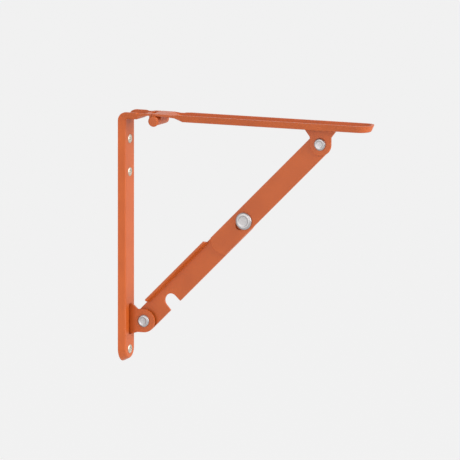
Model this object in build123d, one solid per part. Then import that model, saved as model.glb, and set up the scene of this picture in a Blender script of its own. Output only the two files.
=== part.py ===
from build123d import *
import os
from math import atan2, cos, hypot, radians, sin, sqrt, tan

# Folding shelf bracket. X points away from the wall, Z up, Y across the bracket.
# The origin is on the top wall screw's axis, in the plane of the wall. Millimetres.

# Pressed leaves: a channel that stands on its two rims, with its web held off by DEPTH
SHEET = 2.0
LEAF_HALF = 12.5
WEB_HALF = 9.5
DEPTH = 6.5
WEB_EDGE_R = 2.2
INNER_EDGE_R = 0.8
TOP_Z = 25.7
LEAF_DROP = 230.0
ARM_REACH = 251.0
CORNER_R = 8.0
TAB_FULL_X = 17.0
TAB_FLAT_X = 27.0
ARM_FLAT_X = 46.0
ARM_FULL_X = 63.0

# Pivots
HINGE_X = 35.7
HINGE_DROP = 6.8
LOW_X = 19.2
LOW_UP = 37.2
LOW_DROP = LEAF_DROP - LOW_UP
HIGH_X = 196.6
HIGH_DROP = 20.6
KNEE_REACH = 139.3

# Hinge barrel
PIN_R = 2.1
RUN_GAP = 0.06
BARREL_R = 4.4
KNUCKLE_SPLIT = 5.8
SIDE_GAP = 0.3
PIN_HEAD_R = 5.0
PIN_HEAD_T = 1.9
BUTT_GAP = 0.4

# Lug and ear: flat plates through a slot in the web, with a foot welded inside
PLATE_Y = 2.0
EYE_R = 10.6
FOOT_Y = -6.0
WINDOW_Y = -2.4
SLOT_GAP = 0.3
LUG_UP = 15.2
LUG_DOWN = 12.2
EAR_SIDE = 15.6
STEP_OUT = 1.3

# Struts: flat steel bars, edges given from the line through the pivots
LAYER_GAP = 0.2
STRUT_LEFT = 11.2
STRUT_RIGHT = 9.8
TAIL = 41.0
TAIL_R = 14.0
LIP_START = 15.0
LIP_HIGH = 6.2
LIP_FLARE = 1.6
TAIL_CLEAR = 1.4
NOTCH_AT = 32.0
NOTCH_IN = -3.6
NOTCH_R = 6.4
NOTCH_MOUTH = 7.2
SLOT_TRAVEL = 6.2
EDGE_R = 0.4

# Rivets
RIVET_R = 3.0
RIVET_HEAD_R = 5.7
RIVET_HEAD_T = 2.0
RIVET_SINK_R = 4.6
KNEE_R = 4.1
KNEE_HEAD_R = 8.0
KNEE_HEAD_T = 2.6
KNEE_BACK_R = 7.0
WASHER_R = 7.2
WASHER_T = 0.9
BACK_HEAD_T = 1.6

# Screws
SCREW_R = 2.0
SCREW_HEAD_R = 4.1
SCREW_HEAD_SINK = 1.5
SCREW_PROUD = 0.5
SCREW_LENGTH = 12.0
SCREW_POINT = 1.6
SCREW_NECK_R = 1.8
SECOND_SCREW_DROP = 30.4
LAST_SCREW_UP = 11.0
SCREW_DROPS = [0.0, SECOND_SCREW_DROP, LEAF_DROP - TOP_Z - LAST_SCREW_UP]
RECESS_R = 1.5
RECESS_DEEP = 1.1
SCREW_HOLE_R = 2.3
FIRST_HOLE_X = 92.0
MIDDLE_HOLE_X = 156.0
LAST_HOLE_IN = 17.0
SHELF_HOLES = [FIRST_HOLE_X, MIDDLE_HOLE_X, ARM_REACH - LAST_HOLE_IN]

LOW = (LOW_X, TOP_Z - LOW_DROP)
HIGH = (HIGH_X, TOP_Z - HIGH_DROP)
HINGE = (HINGE_X, TOP_Z - HINGE_DROP)
SLOPE = atan2(HIGH[1] - LOW[1], HIGH[0] - LOW[0])
SPAN = hypot(HIGH[0] - LOW[0], HIGH[1] - LOW[1])
KNEE = (LOW[0] + KNEE_REACH * cos(SLOPE), LOW[1] + KNEE_REACH * sin(SLOPE))
UPPER_Y = PLATE_Y + SHEET + LAYER_GAP
LOWER_Y = UPPER_Y + SHEET + LAYER_GAP
BOTTOM_Z = TOP_Z - LEAF_DROP
FLARE = (LEAF_HALF - WEB_HALF) / DEPTH


def side_plane(y, origin=(0, 0), turn=0.0):
    """Plane across Y: its x runs along the bracket's X turned up by turn, its y follows."""
    along = (cos(turn), 0, sin(turn))
    return Plane(origin=(origin[0], y, origin[1]), x_dir=along, z_dir=(0, -1, 0))


def plate(sketch, y, origin=(0, 0), turn=0.0, thick=SHEET):
    """A flat piece of the given thickness whose near face lies at y."""
    placed = side_plane(y + thick, origin, turn) * sketch
    return extrude(placed, amount=thick)


def cylinder_y(radius, y_near, y_far, centre):
    """A round bar along Y between two heights."""
    placed = side_plane(y_far, centre) * Circle(radius)
    return extrude(placed, amount=y_far - y_near)


def cone_y(r_near, r_far, y_near, y_far, centre):
    """A cone along Y."""
    face = Polyline((0, y_near), (r_near, y_near), (r_far, y_far), (0, y_far), close=True)
    cone = revolve(make_face(Plane.XY * face), Axis.Y, 360)
    return Pos(centre[0], 0, centre[1]) * cone


def section(depth, inner=False):
    """Cross-section of a leaf: x across, y from the rims (0) to the web (depth)."""
    half = LEAF_HALF
    low = depth
    edge = WEB_EDGE_R
    start = 0.0
    if inner:
        half = LEAF_HALF - SHEET * sqrt(1 + FLARE**2)
        low = depth - SHEET
        edge = INNER_EDGE_R
        start = -SHEET
    web = half - FLARE * low
    top = half - FLARE * start
    outline = Polyline((-top, start), (top, start), (web, low), (-web, low), close=True)
    face = make_face(outline)
    corners = face.vertices().sort_by(Axis.Y)[-2:]
    return fillet(corners, edge)


def half_section(face):
    """One half of a section, to be turned about its middle into a round end."""
    return face & Pos(LEAF_HALF, 0) * Rectangle(2 * LEAF_HALF, 8 * LEAF_HALF)


def leaf_blank(inner):
    """The wall leaf's solid: round lower end, straight run, bent corner and short tab."""
    face = section(DEPTH, inner)
    upright = Plane(origin=(0, 0, BOTTOM_Z + LEAF_HALF), x_dir=(0, -1, 0), z_dir=(0, 0, 1))
    run = extrude(upright * face, amount=LEAF_DROP - LEAF_HALF - CORNER_R)
    axis = Axis((0, 0, BOTTOM_Z + LEAF_HALF), (1, 0, 0))
    end = revolve(upright * half_section(face), axis, 360)
    corner_axis = Axis((CORNER_R, 0, TOP_Z - CORNER_R), (0, 1, 0))
    start = Plane(origin=(0, 0, TOP_Z - CORNER_R), x_dir=(0, -1, 0), z_dir=(0, 0, 1))
    corner = revolve(start * face, corner_axis, 90)
    tab = level_run(face, CORNER_R, TAB_FULL_X)
    return run + end + corner + tab


def level_plane(x):
    """Plane of a section across the arm or tab at x, with the rims on top."""
    return Plane(origin=(x, 0, TOP_Z), x_dir=(0, 1, 0), z_dir=(-1, 0, 0))


def level_run(face, start, end):
    """A straight horizontal stretch of a section."""
    return extrude(level_plane(end) * face, amount=end - start)


def fade(full_x, flat_x):
    """The stretch where the channel's depth fades into a flat strip, as outer less inner."""
    flat = Pos(0, SHEET / 2) * Rectangle(2 * LEAF_HALF - 1.2, SHEET)
    outer = loft([level_plane(full_x) * section(DEPTH), level_plane(flat_x) * flat])
    deep = DEPTH - SHEET
    half = LEAF_HALF - SHEET * sqrt(1 + FLARE**2)
    web = half - FLARE * deep
    top = half + FLARE * SHEET
    hollow = Polyline((-top, -SHEET), (top, -SHEET), (web, deep), (-web, deep), close=True)
    shallow = Polyline((-top, -SHEET), (top, -SHEET), (half, 0), (-half, 0), close=True)
    sides = [level_plane(full_x) * make_face(hollow), level_plane(flat_x) * make_face(shallow)]
    return outer - loft(sides)


def strip(start, end, y_low, y_high):
    """A flat strip of sheet, level with the rims."""
    size = (end - start, y_high - y_low, SHEET)
    middle = Pos((start + end) / 2, (y_low + y_high) / 2, TOP_Z - SHEET / 2)
    return middle * Box(*size)


def knuckle(y_low, y_high, side):
    """A rolled knuckle and the turned-down strip that joins it to its leaf's flat end."""
    eye = cylinder_y(BARREL_R, y_low, y_high, HINGE)
    wall = HINGE_X + side * (BARREL_R - SHEET / 2)
    height = HINGE_DROP
    neck = Pos(wall, (y_low + y_high) / 2, HINGE[1] + height / 2)
    neck = neck * Box(SHEET, y_high - y_low, height)
    crown = neck.edges().filter_by(Axis.Y).group_by(Axis.Z)[-1].sort_by(Axis.X)
    outer = crown[-1] if side < 0 else crown[0]
    return eye + fillet(outer, SHEET * 0.7)


def pin_bore():
    """The bore through all knuckles."""
    return cylinder_y(PIN_R + RUN_GAP, -2 * LEAF_HALF, 2 * LEAF_HALF, HINGE)


def screw_seat(z):
    """Countersunk hole in the wall leaf's web."""
    hole = Pos(DEPTH, 0, z) * Rot(0, 90, 0) * Cylinder(SCREW_HOLE_R, 4 * SHEET)
    sink_deep = SCREW_HEAD_SINK + SLOT_GAP / 2
    wide = SCREW_HEAD_R + SLOT_GAP / 2
    seat = Pos(DEPTH - sink_deep / 2, 0, z) * Rot(0, 90, 0) * Cone(SCREW_R + SLOT_GAP, wide, sink_deep)
    return hole + seat


def wall_plate():
    """Fixed leaf, screwed to the wall."""
    body = leaf_blank(False) - leaf_blank(True)
    body += fade(TAB_FULL_X, TAB_FLAT_X)
    side = LEAF_HALF - SHEET / 4
    inner = KNUCKLE_SPLIT + SIDE_GAP
    reach = HINGE_X - BARREL_R + SHEET
    body += strip(TAB_FLAT_X, HINGE_X - BARREL_R - BUTT_GAP - SHEET, -side, side)
    for low, high in ((-side, -inner), (inner, side)):
        body += strip(TAB_FLAT_X, reach - SHEET, low, high)
        body += knuckle(low, high, -1)
    for drop in SCREW_DROPS:
        body -= screw_seat(-drop)
    low_z = LOW[1] - LUG_DOWN - SLOT_GAP
    high_z = LOW[1] + LUG_UP + SLOT_GAP
    far_y = PLATE_Y + SHEET + LAYER_GAP
    window = Pos(DEPTH, (WINDOW_Y + far_y) / 2, (low_z + high_z) / 2)
    body -= window * Box(4 * SHEET, far_y - WINDOW_Y, high_z - low_z)
    return body - pin_bore()


def shelf_arm():
    """Swinging leaf that carries the shelf on its rims."""
    centre_x = ARM_REACH - LEAF_HALF
    blanks = []
    for inner in (False, True):
        face = section(DEPTH, inner)
        run = level_run(face, ARM_FULL_X, centre_x)
        axis = Axis((centre_x, 0, TOP_Z), (0, 0, 1))
        end = revolve(level_plane(centre_x) * half_section(face), axis, 360)
        blanks.append(run + end)
    body = blanks[0] - blanks[1]
    body += fade(ARM_FULL_X, ARM_FLAT_X)
    side = LEAF_HALF - SHEET / 4
    body += strip(HINGE_X + BARREL_R, ARM_FLAT_X, -side, side)
    body += strip(HINGE_X + BARREL_R - SHEET, HINGE_X + BARREL_R, -KNUCKLE_SPLIT, KNUCKLE_SPLIT)
    body += strip(HINGE_X - BARREL_R + SHEET + BUTT_GAP, HINGE_X + BARREL_R, -side, side)
    body += knuckle(-KNUCKLE_SPLIT, KNUCKLE_SPLIT, 1)
    for x in SHELF_HOLES:
        body -= Pos(x, 0, TOP_Z - DEPTH) * Cylinder(SCREW_HOLE_R, 4 * SHEET)
    wide = 2 * (EAR_SIDE + SLOT_GAP)
    far_y = PLATE_Y + SHEET + LAYER_GAP
    window = Pos(HIGH_X, (WINDOW_Y + far_y) / 2, TOP_Z - DEPTH)
    body -= window * Box(wide, far_y - WINDOW_Y, 4 * SHEET)
    return body - pin_bore()


def eye_sketch(root_left, root_right, rise, step):
    """Plate with a wide root at y = rise and a round eye about (0, 0), hollowed between."""
    eye = Circle(EYE_R)
    neck = Pos(0, rise / 2) * Rectangle(2 * EYE_R, rise)
    root = make_face(Polyline((-root_left, rise), (root_right, rise), (root_right, rise - step),
                              (EYE_R, EYE_R * 0.6), (-EYE_R, EYE_R * 0.6), (-root_left, rise - step), close=True))
    return eye + neck + root


def lug():
    """Plate that carries the lower strut, through a slot in the wall leaf."""
    rise = LOW_X - (DEPTH - SHEET)
    flat = eye_sketch(LUG_DOWN, LUG_UP, rise, SHEET + STEP_OUT)
    body = eased(plate(Rot(0, 0, 90) * flat, PLATE_Y, LOW))
    foot_x = DEPTH - SHEET - SHEET / 2
    foot_y = (FOOT_Y + PLATE_Y + SHEET) / 2
    foot_z = LOW[1] + (LUG_UP - LUG_DOWN) / 2
    foot = Box(SHEET, PLATE_Y + SHEET - FOOT_Y, LUG_UP + LUG_DOWN)
    body += Pos(foot_x, foot_y, foot_z) * foot
    return body - cylinder_y(RIVET_R + RUN_GAP, -LEAF_HALF, LEAF_HALF, LOW)


def ear():
    """Plate that carries the upper strut, through a slot in the arm."""
    rise = HIGH_DROP - (DEPTH - SHEET)
    flat = eye_sketch(EAR_SIDE, EAR_SIDE, rise, SHEET + STEP_OUT)
    body = eased(plate(flat, PLATE_Y, HIGH))
    foot_z = TOP_Z - (DEPTH - SHEET) + SHEET / 2
    foot_y = (FOOT_Y + PLATE_Y + SHEET) / 2
    body += Pos(HIGH_X, foot_y, foot_z) * Box(2 * EAR_SIDE, PLATE_Y + SHEET - FOOT_Y, SHEET)
    return body - cylinder_y(RIVET_R + RUN_GAP, -LEAF_HALF, LEAF_HALF, HIGH)


def eased(body):
    """The body with the sheared edges of its near face broken."""
    return fillet(body.faces().sort_by(Axis.Y)[0].edges(), EDGE_R)


def bar(start, end, end_r):
    """Bar outline along x with full rounded corners at both ends."""
    middle = (STRUT_LEFT - STRUT_RIGHT) / 2
    width = STRUT_LEFT + STRUT_RIGHT
    outline = Pos((start + end) / 2, middle) * Rectangle(end - start, width)
    return fillet(outline.vertices(), end_r)


def lower_strut():
    """Strut from the lug to the knee, with a stop lip along its upper edge and a notch."""
    corner = (STRUT_LEFT + STRUT_RIGHT) / 2 - 0.01
    flat = bar(-STRUT_RIGHT, KNEE_REACH + STRUT_RIGHT, corner)
    notch = Pos(NOTCH_AT, NOTCH_IN) * Circle(NOTCH_R)
    mouth = Polyline((NOTCH_AT - NOTCH_R, NOTCH_IN), (NOTCH_AT + NOTCH_R, NOTCH_IN),
                     (NOTCH_AT + NOTCH_MOUTH, -2 * STRUT_RIGHT), (NOTCH_AT - NOTCH_MOUTH, -2 * STRUT_RIGHT), close=True)
    flat = flat - notch - make_face(mouth)
    body = plate(flat, LOWER_Y, LOW, SLOPE)
    lip_end = KNEE_REACH - TAIL - TAIL_CLEAR
    body += lip(LIP_START, lip_end)
    for centre, radius in ((LOW, RIVET_R), (KNEE, KNEE_R)):
        body -= cylinder_y(radius + RUN_GAP, -LEAF_HALF, 2 * LEAF_HALF, centre)
    return body


def lip(start, end):
    """Flange folded towards the viewer's side from the strut's upper edge, a little flared."""
    inner = STRUT_LEFT - SHEET * 0.9
    outer = STRUT_LEFT
    low = 0.0
    high = SHEET + LIP_HIGH
    outline = Polyline((inner, low), (outer, low), (outer, SHEET * 0.6), (outer + LIP_FLARE, high),
                       (outer + LIP_FLARE - SHEET, high), (inner, SHEET), close=True)
    face = make_face(outline)
    origin = (LOW[0] + start * cos(SLOPE), LOWER_Y + SHEET, LOW[1] + start * sin(SLOPE))
    across = (-sin(SLOPE), 0, cos(SLOPE))
    plane = Plane(origin=origin, x_dir=across, z_dir=(cos(SLOPE), 0, sin(SLOPE)))
    return extrude(plane * face, amount=end - start)


def upper_strut():
    """Strut from the knee to the ear; its tail runs past the knee along the lower strut."""
    length = SPAN - KNEE_REACH
    corner = (STRUT_LEFT + STRUT_RIGHT) / 2 - 0.01
    middle = (STRUT_LEFT - STRUT_RIGHT) / 2
    flat = bar(0, length + STRUT_RIGHT, corner)
    tail = Pos((length / 2 - TAIL) / 2, middle) * Rectangle(length / 2 + TAIL, STRUT_LEFT + STRUT_RIGHT)
    cap = Pos(TAIL_R - TAIL, middle) * Circle(TAIL_R)
    keep = cap + Pos(TAIL_R - TAIL + SPAN / 2, middle) * Rectangle(SPAN, 4 * TAIL_R)
    flat = (flat + tail) & keep
    slot_middle = -SLOT_TRAVEL / 2
    slot = Pos(slot_middle, 0) * SlotOverall(SLOT_TRAVEL + 2 * (KNEE_R + RUN_GAP), 2 * (KNEE_R + RUN_GAP))
    flat = flat - slot
    body = eased(plate(flat, UPPER_Y, KNEE, SLOPE))
    body -= cylinder_y(RIVET_R + RUN_GAP, -LEAF_HALF, LEAF_HALF, HIGH)
    return body - cone_y(RIVET_R, RIVET_SINK_R + RUN_GAP, UPPER_Y + SHEET / 2, UPPER_Y + SHEET, HIGH)


def head(radius, thick, y_face, centre):
    """Rivet head standing on y_face towards -Y, with a rounded rim and a shallow dish."""
    disc = cylinder_y(radius, y_face - thick, y_face, centre)
    rim = disc.edges().sort_by(Axis.Y)[0]
    disc = fillet(rim, thick * 0.6)
    dish = cylinder_y(radius * 0.62, y_face - thick - 1, y_face - thick + 0.3, centre)
    return disc - dish


def hinge_pin():
    """Near half of the leaf hinge's pin, with a domed head; it ends short of the arm's knuckle."""
    side = LEAF_HALF - SHEET / 4
    shank = cylinder_y(PIN_R, -side - RUN_GAP, -KNUCKLE_SPLIT - SIDE_GAP, HINGE)
    dome = cylinder_y(PIN_HEAD_R, -side - PIN_HEAD_T, -side - RUN_GAP, HINGE)
    dome = fillet(dome.edges().sort_by(Axis.Y)[0], PIN_HEAD_T * 0.8)
    return shank + dome


def hinge_pin_far():
    """Far half of the leaf hinge's pin, with its flattened end."""
    side = LEAF_HALF - SHEET / 4 + RUN_GAP
    shank = cylinder_y(PIN_R, KNUCKLE_SPLIT + SIDE_GAP, side, HINGE)
    collar = cylinder_y(PIN_HEAD_R * 0.8, side, side + PIN_HEAD_T * 0.8, HINGE)
    return shank + fillet(collar.edges().sort_by(Axis.Y)[-1], PIN_HEAD_T * 0.5)


def lower_rivet():
    """Rivet of the lower pivot, through the lug, the spacer and the lower strut."""
    back = LOWER_Y + SHEET + WASHER_T + 2 * RUN_GAP
    body = head(RIVET_HEAD_R, RIVET_HEAD_T, PLATE_Y - RUN_GAP, LOW)
    body += cylinder_y(RIVET_R, PLATE_Y - RUN_GAP - SHEET / 2, back, LOW)
    rear = cylinder_y(RIVET_HEAD_R * 0.9, back, back + BACK_HEAD_T, LOW)
    return body + fillet(rear.edges().sort_by(Axis.Y)[-1], BACK_HEAD_T * 0.6)


def lower_spacer():
    """Spacer that fills the upper strut's layer at the lower pivot."""
    near = PLATE_Y + SHEET + RUN_GAP
    far = LOWER_Y - RUN_GAP
    ring = cylinder_y(WASHER_R, near, far, LOW)
    return ring - cylinder_y(RIVET_R + RUN_GAP, near - 1, far + 1, LOW)


def back_washer(centre, bore_r, outer_r):
    """Washer behind the lower strut."""
    near = LOWER_Y + SHEET + RUN_GAP
    ring = cylinder_y(outer_r, near, near + WASHER_T, centre)
    return ring - cylinder_y(bore_r + RUN_GAP, near - 1, near + WASHER_T + 1, centre)


def knee_pin():
    """Stepped pin of the knee: broad dished head, and a shank that rides in the slot."""
    back = LOWER_Y + SHEET + WASHER_T + 2 * RUN_GAP
    body = head(KNEE_HEAD_R, KNEE_HEAD_T, UPPER_Y - RUN_GAP, KNEE)
    body += cylinder_y(KNEE_R, UPPER_Y - RUN_GAP - SHEET / 2, back, KNEE)
    rear = cylinder_y(KNEE_BACK_R * 0.85, back, back + BACK_HEAD_T, KNEE)
    return body + fillet(rear.edges().sort_by(Axis.Y)[-1], BACK_HEAD_T * 0.6)


def upper_rivet():
    """Front half of the upper pivot: head and the shank inside the ear."""
    body = head(RIVET_HEAD_R, RIVET_HEAD_T, PLATE_Y - RUN_GAP, HIGH)
    return body + cylinder_y(RIVET_R, PLATE_Y - RUN_GAP - SHEET / 2, PLATE_Y + SHEET + LAYER_GAP / 2, HIGH)


def upper_rivet_back():
    """Rear half of the upper pivot, countersunk flush in the upper strut."""
    near = UPPER_Y - LAYER_GAP / 2 + RUN_GAP
    body = cylinder_y(RIVET_R, near, UPPER_Y + SHEET, HIGH)
    return body + cone_y(RIVET_R - RUN_GAP, RIVET_SINK_R - RUN_GAP, UPPER_Y + SHEET / 2, UPPER_Y + SHEET, HIGH)


def wall_screw(z):
    """Countersunk wood screw with a cross recess."""
    face_x = DEPTH + SCREW_PROUD
    under = DEPTH - SCREW_HEAD_SINK
    tip = face_x - SCREW_LENGTH
    line = Polyline((face_x, 0), (face_x, SCREW_HEAD_R * 0.8), (DEPTH, SCREW_HEAD_R), (under, SCREW_NECK_R),
                    (0, SCREW_NECK_R), (0, SCREW_R), (tip + SCREW_POINT, SCREW_R), (tip, 0), close=True)
    body = revolve(make_face(line), Axis.X, 360)
    recess = Pos(face_x - RECESS_DEEP / 2, 0, 0)
    cross = Box(RECESS_DEEP, 2 * RECESS_R, RECESS_R * 0.5) + Box(RECESS_DEEP, RECESS_R * 0.5, 2 * RECESS_R)
    return Pos(0, 0, z) * (body - recess * cross)


def main():
    """Builds every piece and writes one STEP file for each."""
    pieces = {
        "wall_plate": wall_plate(),
        "wall_lug": lug(),
        "shelf_arm": shelf_arm(),
        "arm_ear": ear(),
        "lower_strut": lower_strut(),
        "upper_strut": upper_strut(),
        "hinge_pin": hinge_pin(),
        "hinge_pin_far": hinge_pin_far(),
        "lower_pivot_rivet": lower_rivet(),
        "lower_pivot_spacer": lower_spacer(),
        "lower_pivot_washer": back_washer(LOW, RIVET_R, WASHER_R),
        "knee_pin": knee_pin(),
        "knee_washer": back_washer(KNEE, KNEE_R, KNEE_HEAD_R),
        "upper_pivot_rivet": upper_rivet(),
        "upper_pivot_rivet_back": upper_rivet_back(),
    }
    for name, drop in zip(("top", "middle", "bottom"), SCREW_DROPS):
        pieces["wall_screw_" + name] = wall_screw(-drop)
    os.makedirs("parts", exist_ok=True)
    for name, solid in pieces.items():
        export_step(solid, os.path.join("parts", name + ".step"))


main()
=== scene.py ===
"""Folding shelf bracket: powder-coated leaves and struts, plated rivets and screws, studio and camera."""

import logging
import math
from dataclasses import dataclass, field
from enum import Enum

import bpy
import numpy as np
from mathutils import Matrix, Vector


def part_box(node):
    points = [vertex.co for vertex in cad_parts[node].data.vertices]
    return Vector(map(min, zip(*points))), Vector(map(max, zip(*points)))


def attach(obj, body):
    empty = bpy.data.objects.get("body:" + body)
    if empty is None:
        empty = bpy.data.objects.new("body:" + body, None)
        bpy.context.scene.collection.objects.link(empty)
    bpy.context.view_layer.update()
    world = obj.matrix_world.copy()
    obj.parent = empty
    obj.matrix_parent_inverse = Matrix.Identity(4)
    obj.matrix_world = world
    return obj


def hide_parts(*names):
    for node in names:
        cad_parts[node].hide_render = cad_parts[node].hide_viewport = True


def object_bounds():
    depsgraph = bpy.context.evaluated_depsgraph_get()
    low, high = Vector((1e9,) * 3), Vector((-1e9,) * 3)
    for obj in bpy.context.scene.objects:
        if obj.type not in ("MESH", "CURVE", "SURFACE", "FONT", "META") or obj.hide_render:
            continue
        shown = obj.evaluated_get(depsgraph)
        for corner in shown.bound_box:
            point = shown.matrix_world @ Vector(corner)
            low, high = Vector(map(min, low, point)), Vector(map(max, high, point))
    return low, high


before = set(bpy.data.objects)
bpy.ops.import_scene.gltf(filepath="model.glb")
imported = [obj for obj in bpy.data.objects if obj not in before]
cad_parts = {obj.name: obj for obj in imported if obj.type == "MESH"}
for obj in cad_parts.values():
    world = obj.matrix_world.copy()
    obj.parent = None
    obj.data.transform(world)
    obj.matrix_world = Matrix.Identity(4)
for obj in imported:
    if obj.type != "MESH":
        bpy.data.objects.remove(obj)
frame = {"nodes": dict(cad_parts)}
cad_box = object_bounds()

MM = 0.001
CORNER_STEPS = 6
log = logging.getLogger("bracket")


class Way(Enum):
    """Which way a turned piece's own axis points in the bracket's frame."""

    NEAR = "near"
    OUT = "out"


def hex_linear(code: str) -> tuple[float, float, float, float]:
    """Turns an sRGB hex colour into linear RGBA.

    Args:
        code: six hex digits.

    Returns:
        Linear red, green, blue and an alpha of one.
    """
    values = [int(code[i : i + 2], 16) / 255 for i in (0, 2, 4)]
    linear = [v / 12.92 if v <= 0.04045 else ((v + 0.055) / 1.055) ** 2.4 for v in values]
    return (linear[0], linear[1], linear[2], 1.0)


def add_node(
    tree: bpy.types.NodeTree, kind: str, settings: dict | None = None, links: dict | None = None
) -> bpy.types.Node:
    """Adds one shader node with its settings and incoming links.

    Args:
        tree: the node tree that gets the node.
        kind: Blender's node type name.
        settings: attribute names, or input names and indices, with their values.
        links: input names or indices with the output sockets that feed them.

    Returns:
        The new node.
    """
    node = tree.nodes.new(kind)
    for name, value in (settings or {}).items():
        if isinstance(name, str) and hasattr(node, name):
            setattr(node, name, value)
        else:
            node.inputs[name].default_value = value
    for name, socket in (links or {}).items():
        tree.links.new(socket, node.inputs[name])
    return node


def empty_material(name: str) -> bpy.types.Material:
    """Makes a material whose node tree is empty.

    Args:
        name: the finish's name.

    Returns:
        The new material.
    """
    material = bpy.data.materials.new(name)
    material.use_nodes = True
    material.node_tree.nodes.clear()
    return material


@dataclass(frozen=True)
class PowderCoat:
    """Satin polyester powder coat, sprayed and baked on pressed steel: even colour, faint orange peel."""

    name: str = "satin_orange_powder_coat"
    colour: str = "C25A1C"
    shade: str = "B85318"
    colour_from: float = 0.7
    shade_to: float = 0.3
    peel_mm: float = 1.1
    cloud_mm: float = 24.0
    roughness: float = 0.42
    smoother: float = 0.04
    rougher: float = 0.05
    peel_depth: float = 0.04
    peel_high_mm: float = 0.1

    def build(self) -> bpy.types.Material:
        """Builds the material.

        Returns:
            The powder coat, a soft gloss over two close oranges that drift into each other.
        """
        material = empty_material(self.name)
        tree = material.node_tree
        place = add_node(tree, "ShaderNodeTexCoord").outputs["Object"]
        # Baked powder is a little uneven in thickness, so its colour drifts slowly along a leaf
        cloud_settings = {"Scale": 1 / (self.cloud_mm * MM), "Detail": 3.0}
        cloud = add_node(tree, "ShaderNodeTexNoise", cloud_settings, {"Vector": place})
        ramp = add_node(tree, "ShaderNodeValToRGB", {}, {"Fac": cloud.outputs["Fac"]})
        low, high = ramp.color_ramp.elements
        low.color, low.position = hex_linear(self.shade), self.shade_to
        high.color, high.position = hex_linear(self.colour), self.colour_from
        peel_settings = {"Scale": 1 / (self.peel_mm * MM), "Detail": 2.0}
        peel = add_node(tree, "ShaderNodeTexNoise", peel_settings, {"Vector": place})
        bump_settings = {"Strength": self.peel_depth, "Distance": self.peel_high_mm * MM}
        bump = add_node(tree, "ShaderNodeBump", bump_settings, {"Height": peel.outputs["Fac"]})
        span = {"To Min": self.roughness - self.smoother, "To Max": self.roughness + self.rougher}
        rough = add_node(tree, "ShaderNodeMapRange", span, {"Value": peel.outputs["Fac"]})
        links = {
            "Base Color": ramp.outputs["Color"],
            "Roughness": rough.outputs["Result"],
            "Normal": bump.outputs["Normal"],
        }
        shader = add_node(tree, "ShaderNodeBsdfPrincipled", {"IOR": 1.5, "Metallic": 0.0}, links)
        add_node(tree, "ShaderNodeOutputMaterial", {}, {"Surface": shader.outputs["BSDF"]})
        return material


@dataclass(frozen=True)
class ZincPlate:
    """Bright zinc plate on turned or headed steel: pale grey, softly clouded, with a fine brushed grain."""

    name: str = "bright_zinc_plate"
    colour: str = "B6B3B3"
    shade: str = "A29F9F"
    grain_mm: float = 0.5
    cloud_mm: float = 4.0
    roughness: float = 0.3
    smoother: float = 0.08
    rougher: float = 0.1
    grain_depth: float = 0.08
    grain_high_mm: float = 0.05
    metallic: float = 0.85

    def build(self) -> bpy.types.Material:
        """Builds the material.

        Returns:
            The plated metal, whose grain is drawn coarser than the real one so that it shows.
        """
        material = empty_material(self.name)
        tree = material.node_tree
        place = add_node(tree, "ShaderNodeTexCoord").outputs["Object"]
        cloud = add_node(tree, "ShaderNodeTexNoise", {"Scale": 1 / (self.cloud_mm * MM)}, {"Vector": place})
        ramp = add_node(tree, "ShaderNodeValToRGB", {}, {"Fac": cloud.outputs["Fac"]})
        ramp.color_ramp.elements[0].color = hex_linear(self.shade)
        ramp.color_ramp.elements[1].color = hex_linear(self.colour)
        grain_settings = {"Scale": 1 / (self.grain_mm * MM), "Detail": 2.0}
        grain = add_node(tree, "ShaderNodeTexNoise", grain_settings, {"Vector": place})
        span = {"To Min": self.roughness - self.smoother, "To Max": self.roughness + self.rougher}
        rough = add_node(tree, "ShaderNodeMapRange", span, {"Value": grain.outputs["Fac"]})
        bump_settings = {"Strength": self.grain_depth, "Distance": self.grain_high_mm * MM}
        bump = add_node(tree, "ShaderNodeBump", bump_settings, {"Height": grain.outputs["Fac"]})
        links = {
            "Base Color": ramp.outputs["Color"],
            "Roughness": rough.outputs["Result"],
            "Normal": bump.outputs["Normal"],
        }
        shader = add_node(tree, "ShaderNodeBsdfPrincipled", {"Metallic": self.metallic}, links)
        add_node(tree, "ShaderNodeOutputMaterial", {}, {"Surface": shader.outputs["BSDF"]})
        return material


def rounded(points: list[tuple[float, float, float]]) -> np.ndarray:
    """Turns a profile's corners into short arcs.

    Each corner is replaced by a quadratic curve between the points a given distance before and after it.

    Args:
        points: along the axis, radius, and how far from the corner its curve starts, in millimetres.

    Returns:
        The profile as an array of (along, radius).
    """
    raw = np.array(points, dtype=float)
    out = [raw[:1, :2]]
    for before, here, after in zip(raw[:-2], raw[1:-1], raw[2:]):
        back = before[:2] - here[:2]
        ahead = after[:2] - here[:2]
        cut = min(here[2], 0.49 * np.linalg.norm(back), 0.49 * np.linalg.norm(ahead))
        if cut <= 0:
            out.append(here[None, :2])
            continue
        start = here[:2] + back / np.linalg.norm(back) * cut
        stop = here[:2] + ahead / np.linalg.norm(ahead) * cut
        t = np.linspace(0, 1, CORNER_STEPS)[:, None]
        out.append((1 - t) ** 2 * start + 2 * t * (1 - t) * here[:2] + t**2 * stop)
    out.append(raw[-1:, :2])
    return np.vstack(out)


def turn_outward(mesh: bpy.types.Mesh) -> None:
    """Turns a closed mesh's faces outwards, by the sign of the volume that they enclose.

    Args:
        mesh: the closed mesh.
    """
    mesh.calc_loop_triangles()
    corners = np.empty(len(mesh.vertices) * 3)
    mesh.vertices.foreach_get("co", corners)
    corners = corners.reshape(-1, 3)
    triangles = np.empty(len(mesh.loop_triangles) * 3, dtype=int)
    mesh.loop_triangles.foreach_get("vertices", triangles)
    a, b, c = (corners[triangles.reshape(-1, 3)[:, i]] for i in range(3))
    if np.einsum("ij,ij->i", a, np.cross(b, c)).sum() < 0:
        mesh.flip_normals()


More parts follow.
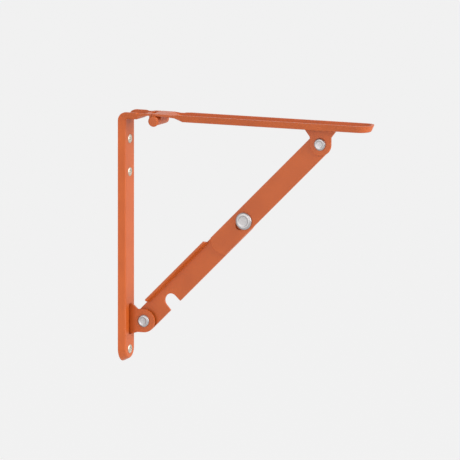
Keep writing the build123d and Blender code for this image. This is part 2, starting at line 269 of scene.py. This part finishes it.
def grid_object(name: str, points: np.ndarray, start: np.ndarray, stop: np.ndarray) -> bpy.types.Object:
    """Makes a closed mesh from rings of points and the two poles that close it.

    Args:
        name: the piece's name.
        points: ring by ring, an array of (rings, around, 3) in metres.
        start: the pole before the first ring.
        stop: the pole after the last ring.

    Returns:
        The new object, smooth shaded, with faces pointing outwards.
    """
    rings, around = points.shape[:2]
    vertices = np.vstack([points.reshape(-1, 3), start[None], stop[None]])
    row, column = np.meshgrid(np.arange(rings - 1), np.arange(around), indexing="ij")
    beside = (column + 1) % around
    corners = [row * around + column, row * around + beside]
    corners += [(row + 1) * around + beside, (row + 1) * around + column]
    quads = np.stack(corners, axis=-1).reshape(-1, 4)
    turn = np.arange(around)
    step = (turn + 1) % around
    last = (rings - 1) * around
    pole = np.full(around, rings * around)
    first_cap = np.stack([pole, step, turn], axis=-1)
    last_cap = np.stack([pole + 1, last + turn, last + step], axis=-1)
    mesh = bpy.data.meshes.new(name)
    mesh.from_pydata(vertices.tolist(), [], quads.tolist() + first_cap.tolist() + last_cap.tolist())
    mesh.update()
    turn_outward(mesh)
    mesh.shade_smooth()
    piece = bpy.data.objects.new(name, mesh)
    bpy.context.scene.collection.objects.link(piece)
    return piece


@dataclass
class Turned:
    """A turned piece: a profile carried round an axis.

    A point is the centre, plus along times the axis's direction, plus radius times a turned cross direction.
    """

    name: str
    node: str
    body: str
    slot: str
    centre: tuple[float, float, float]
    way: Way
    profile: list[tuple[float, float, float]]
    around: int = 96

    def angles(self) -> np.ndarray:
        """Turn angles of one ring's points."""
        return np.linspace(0, 2 * math.pi, self.around, endpoint=False)

    def points(self) -> tuple[np.ndarray, np.ndarray]:
        """Works out the rings.

        Returns:
            Distances along the axis and radii, each an array of (rings, around), in metres.
        """
        line = rounded(self.profile) * MM
        along = np.repeat(line[1:-1, :1], self.around, axis=1)
        radius = np.repeat(line[1:-1, 1:], self.around, axis=1)
        return along, radius

    def place(self, along: np.ndarray, u: np.ndarray, v: np.ndarray) -> np.ndarray:
        """Puts axis coordinates into the bracket's frame.

        Args:
            along: distance along the piece's own axis.
            u: first cross distance.
            v: second cross distance.

        Returns:
            Points in metres.
        """
        x, y, z = self.centre
        if self.way is Way.NEAR:
            return np.stack([x + u, y - along, z + v], axis=-1)
        return np.stack([x + along, y + u, z + v], axis=-1)

    def pole(self, end: tuple[float, float, float]) -> np.ndarray:
        """The point on the axis that closes one end.

        Args:
            end: the profile's first or last point.

        Returns:
            The point in metres.
        """
        return self.place(np.array(end[0] * MM), np.array(0.0), np.array(0.0))

    def build(self, material: bpy.types.Material) -> bpy.types.Object:
        """Makes the piece, dresses it, and lets it stand for its node.

        Args:
            material: its finish.

        Returns:
            The finished object.
        """
        along, radius = self.points()
        rings = self.place(along, radius * np.cos(self.angles()), radius * np.sin(self.angles()))
        piece = grid_object(self.name, rings, self.pole(self.profile[0]), self.pole(self.profile[-1]))
        piece.data.materials.append(material)
        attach(piece, self.body)
        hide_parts(self.node)
        log.info("%s stands for %s", self.name, self.node)
        return piece


@dataclass
class Screw(Turned):
    """Countersunk wood screw: a turned profile with a cross recess pressed in, and a rolled thread."""

    recess_deep: float = 1.7 * MM
    recess_long: float = 2.4 * MM
    recess_half: float = 0.65 * MM
    recess_soft: float = 0.12 * MM
    pitch: float = 1.3 * MM
    thread: float = 0.22 * MM
    face_rows: int = 44
    face_from: float = 0.04
    face_to: float = 0.92
    shank_rows: int = 60
    shank_start: float = 0.2 * MM
    near_wall: float = 0.1 * MM

    def points(self) -> tuple[np.ndarray, np.ndarray]:
        """Works out the rings, then presses the cross in and cuts the thread.

        The cross sinks every point of the head's face whose distance from either arm's line is under the
        arm's half width; the thread lowers the radius by a cosine of the turn angle and the distance along.

        Returns:
            Distances along the axis and radii, each an array of (rings, around), in metres.
        """
        line = rounded(self.profile) * MM
        head = line[0, 0]
        face = np.linspace(self.face_from, self.face_to, self.face_rows)[:, None] * line[1, 1]
        shank = line[line[:, 0] < self.near_wall]
        reach = np.linspace(-self.shank_start, shank[:, 0].min(), self.shank_rows)[:, None]
        width = np.interp(-reach[:, 0], -shank[:, 0], shank[:, 1])[:, None]
        upper = line[line[:, 0] > self.near_wall][1:]
        rows = np.vstack([np.hstack([np.full_like(face, head), face]), upper, np.hstack([reach, width])[:-1]])
        along = np.repeat(rows[:, :1], self.around, axis=1)
        radius = np.repeat(rows[:, 1:], self.around, axis=1)
        u, v = radius * np.cos(self.angles()), radius * np.sin(self.angles())
        off = np.minimum(np.abs(u), np.abs(v))
        far = np.maximum(np.abs(u), np.abs(v))
        inside = np.clip((self.recess_half - off) / self.recess_soft + 0.5, 0, 1)
        inside = inside * np.clip((self.recess_long - far) / self.recess_soft, 0, 1)
        sink = inside * self.recess_deep * (1 - 0.5 * far / self.recess_long)
        along = along - np.where(along >= head - 1e-9, sink, 0)
        wave = 0.5 - 0.5 * np.cos(2 * math.pi * along / self.pitch + self.angles())
        cut = self.thread * wave * np.minimum(radius / MM, 1)
        return along, radius - np.where(along < -self.near_wall, cut, 0)


@dataclass
class PaintedSteel:
    """The leaves, struts and small plates, which keep their solids and get their finish."""

    painted: list[str] = field(default_factory=lambda: [
        "wall_plate", "wall_lug", "shelf_arm", "arm_ear",
        "lower_strut", "upper_strut", "hinge_pin", "hinge_pin_far"])
    plated: list[str] = field(default_factory=lambda: [
        "lower_pivot_spacer", "lower_pivot_washer", "knee_washer", "upper_pivot_rivet_back"])

    def dress(self, nodes: dict, paint: bpy.types.Material, zinc: bpy.types.Material) -> None:
        """Gives every kept node its finish.

        Args:
            nodes: the frame's objects by node name.
            paint: the powder coat.
            zinc: the plated metal.
        """
        for names, material in ((self.painted, paint), (self.plated, zinc)):
            for name in names:
                slots = nodes[name].data.materials
                slots.clear()
                slots.append(material)
                log.info("%s dressed in %s", name, material.name)


@dataclass(frozen=True)
class RivetSize:
    """One rivet's sizes in millimetres; a far head of radius zero is none."""

    body: str
    head_t: float
    shank_r: float
    back_r: float = 0.0
    back_t: float = 0.0


@dataclass
class Rivets:
    """Rivets and pins: broad dished heads with rounded rims."""

    dish: float = 0.35
    dish_share: float = 0.6
    sizes: dict[str, RivetSize] = field(default_factory=lambda: {
        "lower_pivot_rivet": RivetSize("wall_leaf", 2.0, 3.0, 5.1, 1.6),
        "knee_pin": RivetSize("knee_pin", 2.6, 4.1, 5.9, 1.6),
        "upper_pivot_rivet": RivetSize("shelf_arm", 2.0, 3.0)})

    def profile(self, length: float, head_r: float, size: RivetSize) -> list[tuple[float, float, float]]:
        """Profile of a headed pin, from the middle of its near face to the middle of its far face.

        Args:
            length: over both heads, in millimetres.
            head_r: near head's radius.
            size: the rivet's other sizes.

        Returns:
            Points of (along, radius, corner cut), measured back from the near face.
        """
        inner = head_r * self.dish_share
        points = [(-self.dish, 0, 0), (-self.dish, inner - 0.5, 0.4), (-0.02, inner + 0.1, 0.5)]
        points += [(0, head_r - 1.2, 0.9), (-size.head_t * 0.45, head_r, 0.6)]
        points += [(-size.head_t, head_r, 0.15), (-size.head_t, size.shank_r, 0.1)]
        if size.back_r:
            shoulder = size.back_t - length
            points += [(shoulder, size.shank_r, 0.1), (shoulder, size.back_r, 0.15)]
            points += [(-length, size.back_r * 0.8, 0.6)]
        else:
            points += [(-length, size.shank_r, 0.2)]
        return points + [(-length, 0, 0)]

    def build(self, zinc: bpy.types.Material) -> None:
        """Makes the rivets over their nodes.

        Args:
            zinc: their finish.
        """
        for node, size in self.sizes.items():
            low, high = (np.array(c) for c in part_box(node))
            middle = (low + high) / 2
            line = self.profile((high[1] - low[1]) / MM, (high[0] - low[0]) / 2 / MM, size)
            centre = (middle[0], low[1], middle[2])
            Turned(node + "_turned", node, size.body, "zinc", centre, Way.NEAR, line).build(zinc)


@dataclass
class WallScrews:
    """The three countersunk screws of the wall leaf, in millimetres from the wall."""

    head_r: float = 4.1
    neck_r: float = 1.8
    shank_r: float = 2.0
    proud: float = 7.0
    face: float = 6.5
    under: float = 5.0
    point: float = 1.6

    def profile(self, tip: float) -> list[tuple[float, float, float]]:
        """Profile from the middle of the head's face to the point.

        Args:
            tip: the point's distance from the wall's face.

        Returns:
            Points of (along, radius, corner cut).
        """
        head = [(self.proud, 0, 0), (self.proud, self.head_r * 0.8, 0.3), (self.face, self.head_r, 0.12)]
        neck = [(self.under, self.neck_r, 0.1), (0.2, self.neck_r, 0.05), (0, self.shank_r, 0.05)]
        return head + neck + [(tip + self.point, self.shank_r, 0.2), (tip, 0.1, 0), (tip, 0, 0)]

    def build(self, steel: bpy.types.Material) -> None:
        """Makes each screw over its node.

        Args:
            steel: their finish.
        """
        for place in ("top", "middle", "bottom"):
            node = "wall_screw_" + place
            low, high = (np.array(c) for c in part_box(node))
            centre = (0.0, (low[1] + high[1]) / 2, (low[2] + high[2]) / 2)
            line = self.profile(low[0] / MM)
            Screw(node + "_turned", node, "wall_leaf", "screw_steel", centre, Way.OUT, line).build(steel)


@dataclass
class Studio:
    """Pale floor and surroundings, soft lamps, and the camera."""

    azimuth: float = 25.0
    elevation: float = 7.6
    view_width_mm: float = 419.211
    across_mm: float = 96.97
    up_mm: float = -83.67
    distance: float = 1.6
    pale: str = "FBFBFB"
    ambient: float = 0.4
    shown_share: float = 0.85
    floor_drop: float = 0.7
    floor_half: float = 14.0
    aim: tuple[float, float, float] = (0.1, 0.0, -0.08)

    def camera(self) -> None:
        """Places a parallel camera: right, up and back are unit vectors from azimuth and elevation."""
        a, e = math.radians(self.azimuth), math.radians(self.elevation)
        right = np.array([math.cos(a), math.sin(a), 0])
        back = np.array([math.sin(a) * math.cos(e), -math.cos(a) * math.cos(e), math.sin(e)])
        up = np.cross(back, right)
        data = bpy.data.cameras.new("camera")
        data.type = "ORTHO"
        data.ortho_scale = self.view_width_mm * MM
        data.clip_end = 60
        cam = bpy.data.objects.new("camera", data)
        bpy.context.scene.collection.objects.link(cam)
        target = right * self.across_mm * MM + up * self.up_mm * MM
        cam.matrix_world = self.stand(right, up, back, target + back * self.distance)
        bpy.context.scene.camera = cam

    def stand(self, right: np.ndarray, up: np.ndarray, back: np.ndarray, place: np.ndarray) -> Matrix:
        """Matrix of a thing that looks along minus back.

        Args:
            right: its right, a unit vector.
            up: its up.
            back: away from what it looks at.
            place: where it stands, in metres.

        Returns:
            The world matrix.
        """
        matrix = np.eye(4)
        matrix[:3, 0], matrix[:3, 1], matrix[:3, 2], matrix[:3, 3] = right, up, back, place
        return Matrix(matrix.tolist())

    def lamp(self, name: str, place: tuple[float, float, float], size: float, power: float) -> None:
        """Adds one large soft lamp that points at the bracket.

        Args:
            name: the lamp's name.
            place: where it hangs, in metres.
            size: its side, in metres.
            power: in watts.
        """
        data = bpy.data.lights.new(name, "AREA")
        data.size = size
        data.energy = power
        lamp = bpy.data.objects.new(name, data)
        bpy.context.scene.collection.objects.link(lamp)
        back = np.array(place) - np.array(self.aim)
        back = back / np.linalg.norm(back)
        right = np.cross([0, 0, 1], back)
        right = right / np.linalg.norm(right)
        lamp.matrix_world = self.stand(right, np.cross(back, right), back, np.array(place))

    def seen(self, tree: bpy.types.NodeTree, with_glass: bool) -> bpy.types.NodeSocket:
        """One where a ray comes from the camera or a gloss, and zero where it gathers light.

        Args:
            tree: the tree that gets the nodes.
            with_glass: whether rays through glass count too.

        Returns:
            The socket with the answer.
        """
        path = add_node(tree, "ShaderNodeLightPath")
        rays = {0: path.outputs["Is Camera Ray"], 1: path.outputs["Is Glossy Ray"]}
        either = add_node(tree, "ShaderNodeMath", {"operation": "MAXIMUM"}, rays).outputs[0]
        if not with_glass:
            return either
        rays = {0: either, 1: path.outputs["Is Transmission Ray"]}
        return add_node(tree, "ShaderNodeMath", {"operation": "MAXIMUM"}, rays).outputs[0]

    def surroundings(self) -> None:
        """Sets a world that lights softly and shows as pale to the camera and in gloss."""
        world = bpy.data.worlds.new("pale_world")
        bpy.context.scene.world = world
        world.use_nodes = True
        tree = world.node_tree
        tree.nodes.clear()
        light = add_node(tree, "ShaderNodeBackground", {"Color": (1, 1, 1, 1), "Strength": self.ambient})
        shown = add_node(tree, "ShaderNodeBackground", {"Color": hex_linear(self.pale), "Strength": 1.0})
        links = {0: self.seen(tree, True), 1: light.outputs[0], 2: shown.outputs[0]}
        mix = add_node(tree, "ShaderNodeMixShader", {}, links)
        add_node(tree, "ShaderNodeOutputWorld", {}, {"Surface": mix.outputs[0]})

    def floor(self, lowest: float) -> None:
        """Lays the pale floor well below the bracket, which hangs on a wall.

        Args:
            lowest: the bracket's lowest height, in metres.
        """
        material = empty_material("pale_floor")
        tree = material.node_tree
        share_settings = {"operation": "MULTIPLY", 1: self.shown_share}
        share = add_node(tree, "ShaderNodeMath", share_settings, {0: self.seen(tree, False)})
        matt = add_node(tree, "ShaderNodeBsdfDiffuse", {"Color": hex_linear(self.pale)})
        glow = add_node(tree, "ShaderNodeEmission", {"Color": hex_linear(self.pale), "Strength": 1.0})
        links = {0: share.outputs[0], 1: matt.outputs[0], 2: glow.outputs[0]}
        mix = add_node(tree, "ShaderNodeMixShader", {}, links)
        add_node(tree, "ShaderNodeOutputMaterial", {}, {"Surface": mix.outputs[0]})
        half, height = self.floor_half, lowest - self.floor_drop
        corners = [(-half, -half, height), (half, -half, height), (half, half, height), (-half, half, height)]
        mesh = bpy.data.meshes.new("floor")
        mesh.from_pydata(corners, [], [(0, 1, 2, 3)])
        mesh.materials.append(material)
        plane = bpy.data.objects.new("floor", mesh)
        bpy.context.scene.collection.objects.link(plane)

    def build(self, lowest: float) -> None:
        """Sets up camera, surroundings, floor and lamps.

        Args:
            lowest: the bracket's lowest height, in metres.
        """
        bpy.context.scene.view_settings.view_transform = "Standard"
        self.camera()
        self.surroundings()
        self.floor(lowest)
        self.lamp("key", (1.7, 0.1, 0.75), 2.0, 48.0)
        self.lamp("front", (-0.1, -1.9, 0.4), 1.6, 15.0)


def main() -> None:
    """Builds the bracket's looks around its frame."""
    logging.basicConfig(level=logging.INFO, format="%(name)s: %(message)s")
    paint = PowderCoat().build()
    zinc = ZincPlate().build()
    # Screws are plated too, but warmer and a little duller than the rivets
    steel = ZincPlate(name="plated_screw_steel", colour="CFC6B8", shade="B5AB9C", roughness=0.34).build()
    PaintedSteel().dress(frame["nodes"], paint, zinc)
    Rivets().build(zinc)
    WallScrews().build(steel)
    Studio().build(float(cad_box[0][2]))


if __name__ == "__main__":
    main()
